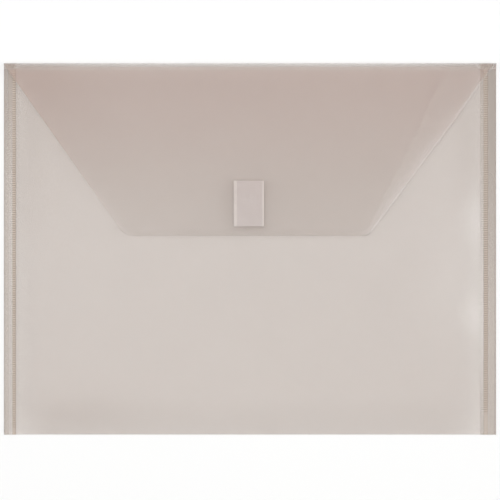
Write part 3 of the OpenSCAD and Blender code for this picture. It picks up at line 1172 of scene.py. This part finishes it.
    def build(self) -> None:
        """Carries the sheet half a turn round the hinge axis, then down over the front to its end."""
        bend = np.linspace(-np.pi / 2, np.pi / 2, self.bend_steps)
        radius = self.hinge_z - self.sheet / 2
        run = self.burr_run + self.cut_run
        fall = np.linspace(max(self.lean(-1), self.lean(1)), 0.0, self.corner_steps)
        corner = self.tip_y + run + (self.corner_radius - run) * (1 - np.cos(fall))
        flat = joined(np.linspace(self.hinge_y, corner[0], self.flat_steps), corner)[1:]
        y = np.concatenate([self.hinge_y + radius * np.cos(bend), flat])
        turn = np.concatenate([bend, np.full(len(flat), np.pi)])
        half = self.half_fold - run
        right = np.where(turn < 0, half, self.side_x(y, 1, run))[:, None]
        left = np.where(turn < 0, -half, self.side_x(y, -1, run))[:, None]
        # The columns stand closer towards both sides, half of the way to a cosine's spacing
        share = np.linspace(0.0, 1.0, self.columns)
        share = 0.5 * share + 0.25 * (1 - np.cos(np.pi * share))
        x = right + (left - right) * share
        flat_z = np.full(len(flat), self.hinge_z + radius)
        z = np.concatenate([self.hinge_z + radius * np.sin(bend), flat_z])
        _, y, z, turn = np.broadcast_arrays(x, y[:, None], z[:, None], turn[:, None])
        middle = np.stack([x, y, z - np.where(turn > np.pi / 2, self.sag(x, y), 0.0)], axis=-1)
        # The right side's rim is a painted highlight over a dark cut that is partly a painted shadow line
        rims = {Side.FIRST_ROW: Rim.RUNS_ON, Side.LAST_ROW: Rim.PLAIN,
                Side.FIRST_COLUMN: Rim.SHARP, Side.LAST_COLUMN: Rim.PLAIN}
        shell = Shell.around("flap_film", middle, self.sheet, rims, self.burr_run, self.cut_run)
        film = dress(shell.build(SMOKE_SHEET), "film", "flap_panel", "flap_crease")
        shell.mark(film, "haze", self.haze(x, y, turn))
        height = (y - self.tip_y) / (self.root_y - self.tip_y)
        end_warmth = self.rim_warmth * near((self.half_fold - x) / (2 * run))
        shell.mark(film, "warmth", np.where(turn > np.pi / 2, self.root_warmth * ease(height), end_warmth))
        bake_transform(film)


class PadKind(Enum):
    """The two halves of the closure, each with the body that it is stuck to."""

    LOOP = "pocket"
    HOOK = "flap"


@dataclass
class ClosurePad:
    """One half of the closure: adhesive film, woven tape, and its loops or hooks."""

    kind: PadKind
    left_selvedge: float = 2 * MM
    right_selvedge: float = 1.3 * MM
    pitch: float = 1.3 * MM
    yarn: float = 0.2 * MM
    hook_bend: float = 0.17 * MM
    loop_width: float = 0.95 * MM
    hook_turn: float = math.radians(210)
    edge_round: float = 0.5 * MM
    edge_fall: float = 0.3
    selvedge_blur: float = 0.4 * MM
    gum_gap: float = 0.015 * MM
    side_zone: float = 3 * MM
    end_zone: float = 1 * MM
    side_steps: int = 12
    width_steps: int = 26
    end_steps: int = 6
    length_steps: int = 50
    loop_steps: int = 9
    stem_steps: int = 3
    hook_steps: int = 8

    def node(self, part: str) -> str:
        """Name of one of this pad's nodes."""
        return f"{self.kind.name.lower()}_{part}"

    def slab(self, part: str, name: str, finish: Finish) -> bpy.types.Object:
        """Makes a thin layer that fills its node's box, its upper rim rounded over a short run.

        The adhesive keeps a hair away from what it joins, because two faces in one plane can't be told
        apart.

        Args:
            part: The layer's part of the node's name.
            name: The piece's name.
            finish: The layer's finish.

        Returns:
            The layer's piece, with its selvedges stored per vertex.
        """
        (left, low, under), (right, high, top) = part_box(self.node(part))
        if part == "adhesive":
            under, top = under + self.gum_gap, top - self.gum_gap
        side_x = (left + self.side_zone, right - self.side_zone)
        end_y = (low + self.end_zone, high - self.end_zone)
        x = joined(np.linspace(left, side_x[0], self.side_steps), np.linspace(*side_x, self.width_steps),
                   np.linspace(side_x[1], right, self.side_steps))[None, :]
        y = joined(np.linspace(low, end_y[0], self.end_steps), np.linspace(*end_y, self.length_steps),
                   np.linspace(end_y[1], high, self.end_steps))[:, None]
        from_rim = np.minimum(np.minimum(x - left, right - x), np.minimum(y - low, high - y))
        fall = self.edge_fall * (top - under) * near(from_rim / self.edge_round)
        grid_x, grid_y, fall = np.broadcast_arrays(x, y, fall)
        outer = np.stack([grid_x, grid_y, top - fall], axis=-1)
        inner = np.stack([grid_x, grid_y, np.full(fall.shape, under)], axis=-1)
        shell = Shell(name, outer, inner)
        piece = shell.build(finish)
        from_left, from_right = grid_x - left, right - grid_x
        shell.mark(piece, "selvedge", np.maximum(
            ease((self.left_selvedge - from_left) / self.selvedge_blur + 0.5),
            ease((self.right_selvedge - from_right) / self.selvedge_blur + 0.5)))
        return piece

    def pile(self) -> bpy.types.Object:
        """Stands loops on the tape, or hangs hooks from it, in columns that pass between each other.

        A loop is half an ellipse. A hook is a straight stem and most of a circle.

        Returns:
            All loops or hooks as one piece.
        """
        node = "loop_pile" if self.kind is PadKind.LOOP else "hook_field"
        (left, low, under), (right, high, top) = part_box(node)
        reach = top - under - self.yarn / 2
        if self.kind is PadKind.LOOP:
            turn = np.linspace(0.0, np.pi, self.loop_steps)
            path = np.stack([0 * turn, -self.loop_width / 2 * np.cos(turn), reach * np.sin(turn)], axis=1)
            base, inset, finish = under, self.yarn, LOOP_YARN
        else:
            turn = np.linspace(0.0, self.hook_turn, self.hook_steps)
            stem = np.linspace(0.0, reach - self.hook_bend, self.stem_steps)[:-1]
            path = np.concatenate([
                np.stack([0 * stem, 0 * stem, -stem], axis=1),
                np.stack([0 * turn, self.hook_bend * (1 - np.cos(turn)),
                          -(reach - self.hook_bend) - self.hook_bend * np.sin(turn)], axis=1)])
            base, inset, finish = top, self.yarn + self.pitch / 2, HOOK_FILAMENT
        x = np.arange(left + inset, right - inset / 2, self.pitch)
        y = np.arange(low + self.loop_width, high - self.loop_width, self.pitch)
        grid = np.stack(np.meshgrid(x, y, base), axis=-1).reshape(-1, 3)
        return dress(Filament(node + "_yarn", path, self.yarn).build(grid, finish), "pile", node)

    def build(self) -> None:
        """Makes the three layers and sets them on their body."""
        half = self.kind.name.lower()
        layers = [dress(self.slab("adhesive", f"{half}_gum", GUM_FILM), "adhesive", self.node("adhesive")),
                  dress(self.slab("tape", f"{half}_weave", TAPE), "tape", self.node("tape")),
                  self.pile()]
        for layer in layers:
            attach(layer, self.kind.value)


@dataclass
class Studio:
    """Pale floor, soft lamps and the camera that looks straight down."""

    view_width: float = 335.35 * MM
    view_centre_y: float = -0.7 * MM
    camera_height: float = 3.0
    sensor: float = 36.0
    floor_drop: float = 0.1 * MM
    floor_size: float = 12.0
    sky: float = 0.25

    def lamp(self, name: str, place: tuple[float, float, float], size: float, power: float) -> None:
        """Hangs a square soft lamp that faces the envelope.

        Args:
            name: The lamp's name.
            place: Where it hangs.
            size: Length of its side.
            power: Watts.
        """
        light = bpy.data.lights.new(name, "AREA")
        light.size = size
        light.energy = power
        made = bpy.data.objects.new(name, light)
        made.location = place
        made.rotation_euler = (-Vector(place)).to_track_quat("-Z", "Y").to_euler()
        bpy.context.scene.collection.objects.link(made)

    def build(self) -> None:
        """Lays the floor, hangs the lamps and sets the camera."""
        half = self.floor_size / 2
        corner = np.array([[-half, -half], [half, -half], [half, half], [-half, half]])
        floor = quad_mesh("studio_floor", np.column_stack([corner, np.full(4, -self.floor_drop)]),
                          np.array([[0, 1, 2, 3]]))
        floor.data.materials.append(FloorPaint().material())
        self.lamp("overhead", (-0.15, 0.3, 3.25), size=2.0, power=65.0)
        self.lamp("right_side", (1.9, 0.3, 1.5), size=2.0, power=20.0)
        self.lamp("left_side", (-1.9, 0.3, 1.5), size=2.0, power=14.0)
        scene = bpy.context.scene
        scene.world = bpy.data.worlds.new("studio light")
        scene.world.use_nodes = True
        back = scene.world.node_tree.nodes["Background"]
        back.inputs["Color"].default_value = (1.0, 1.0, 1.0, 1.0)
        back.inputs["Strength"].default_value = self.sky
        lens = bpy.data.cameras.new("main_camera")
        lens.sensor_width = self.sensor
        lens.lens = self.sensor * self.camera_height / self.view_width
        lens.clip_end = 100.0
        camera = bpy.data.objects.new("main_camera", lens)
        camera.location = (0.0, self.view_centre_y, self.camera_height)
        scene.collection.objects.link(camera)
        scene.camera = camera
        scene.view_settings.view_transform = "Standard"
        # Three sheets have six faces for the eye to pass, and six more for the light of each lamp
        scene.cycles.transparent_max_bounces = 32


def main() -> None:
    """Builds the envelope's sub-assemblies and the studio, in order."""
    logging.basicConfig(level=logging.INFO, format="%(name)s: %(message)s")
    Pocket().build()
    Flap().build()
    for kind in PadKind:
        ClosurePad(kind).build()
    Studio().build()


if __name__ == "__main__":
    main()
